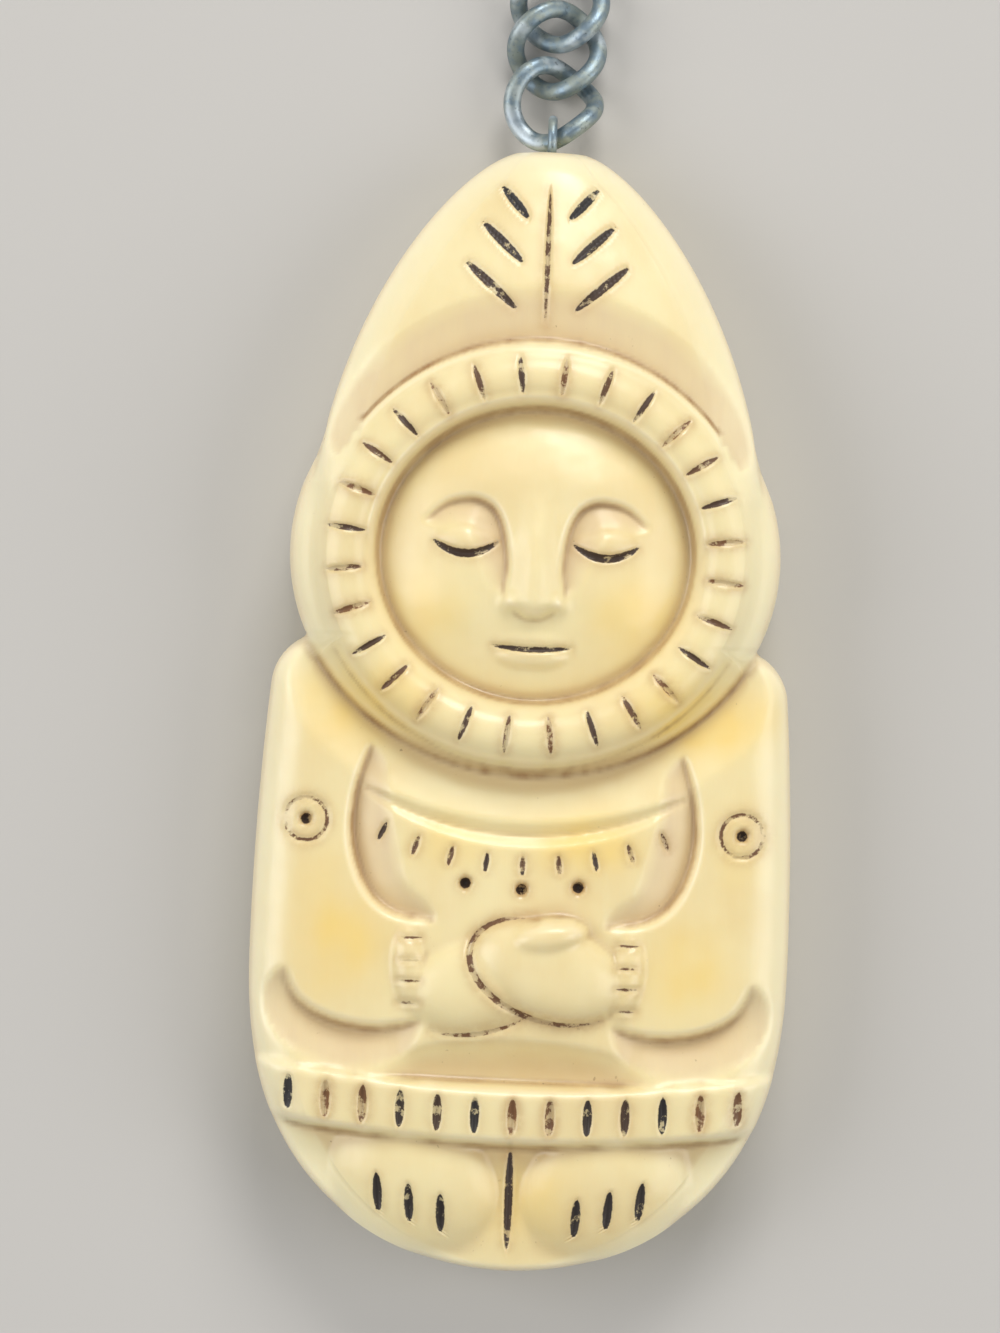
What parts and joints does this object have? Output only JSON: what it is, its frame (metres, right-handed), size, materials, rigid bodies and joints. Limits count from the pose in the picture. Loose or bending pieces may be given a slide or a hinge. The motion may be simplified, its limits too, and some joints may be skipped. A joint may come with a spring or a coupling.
{
  "type": "carved scrimshaw pendant",
  "caption": "Carved ivory pendant in the shape of a hooded figure, with ink-filled lines, a small metal eye and the first links of a curb chain.",
  "frame": {"origin": "middle of the flat back, halfway up the carving", "axes": "+X to the viewer's right, +Y up the figure to the chain, +Z out of the carved front"},
  "size_m": [0.024, 0.0594, 0.0084],
  "materials": {
    "ivory": "polished ivory, yellowed in the cuts, with dark ink in the lines",
    "tarnished_metal": "tarnished blue-grey plate, worn bright on the high places"
  },
  "bodies": {
    "root": {"carved_figure": "ivory", "screw_eye": "tarnished_metal", "chain_link_1": "tarnished_metal", "chain_link_2": "tarnished_metal", "chain_link_3": "tarnished_metal"}
  },
  "joints": []
}
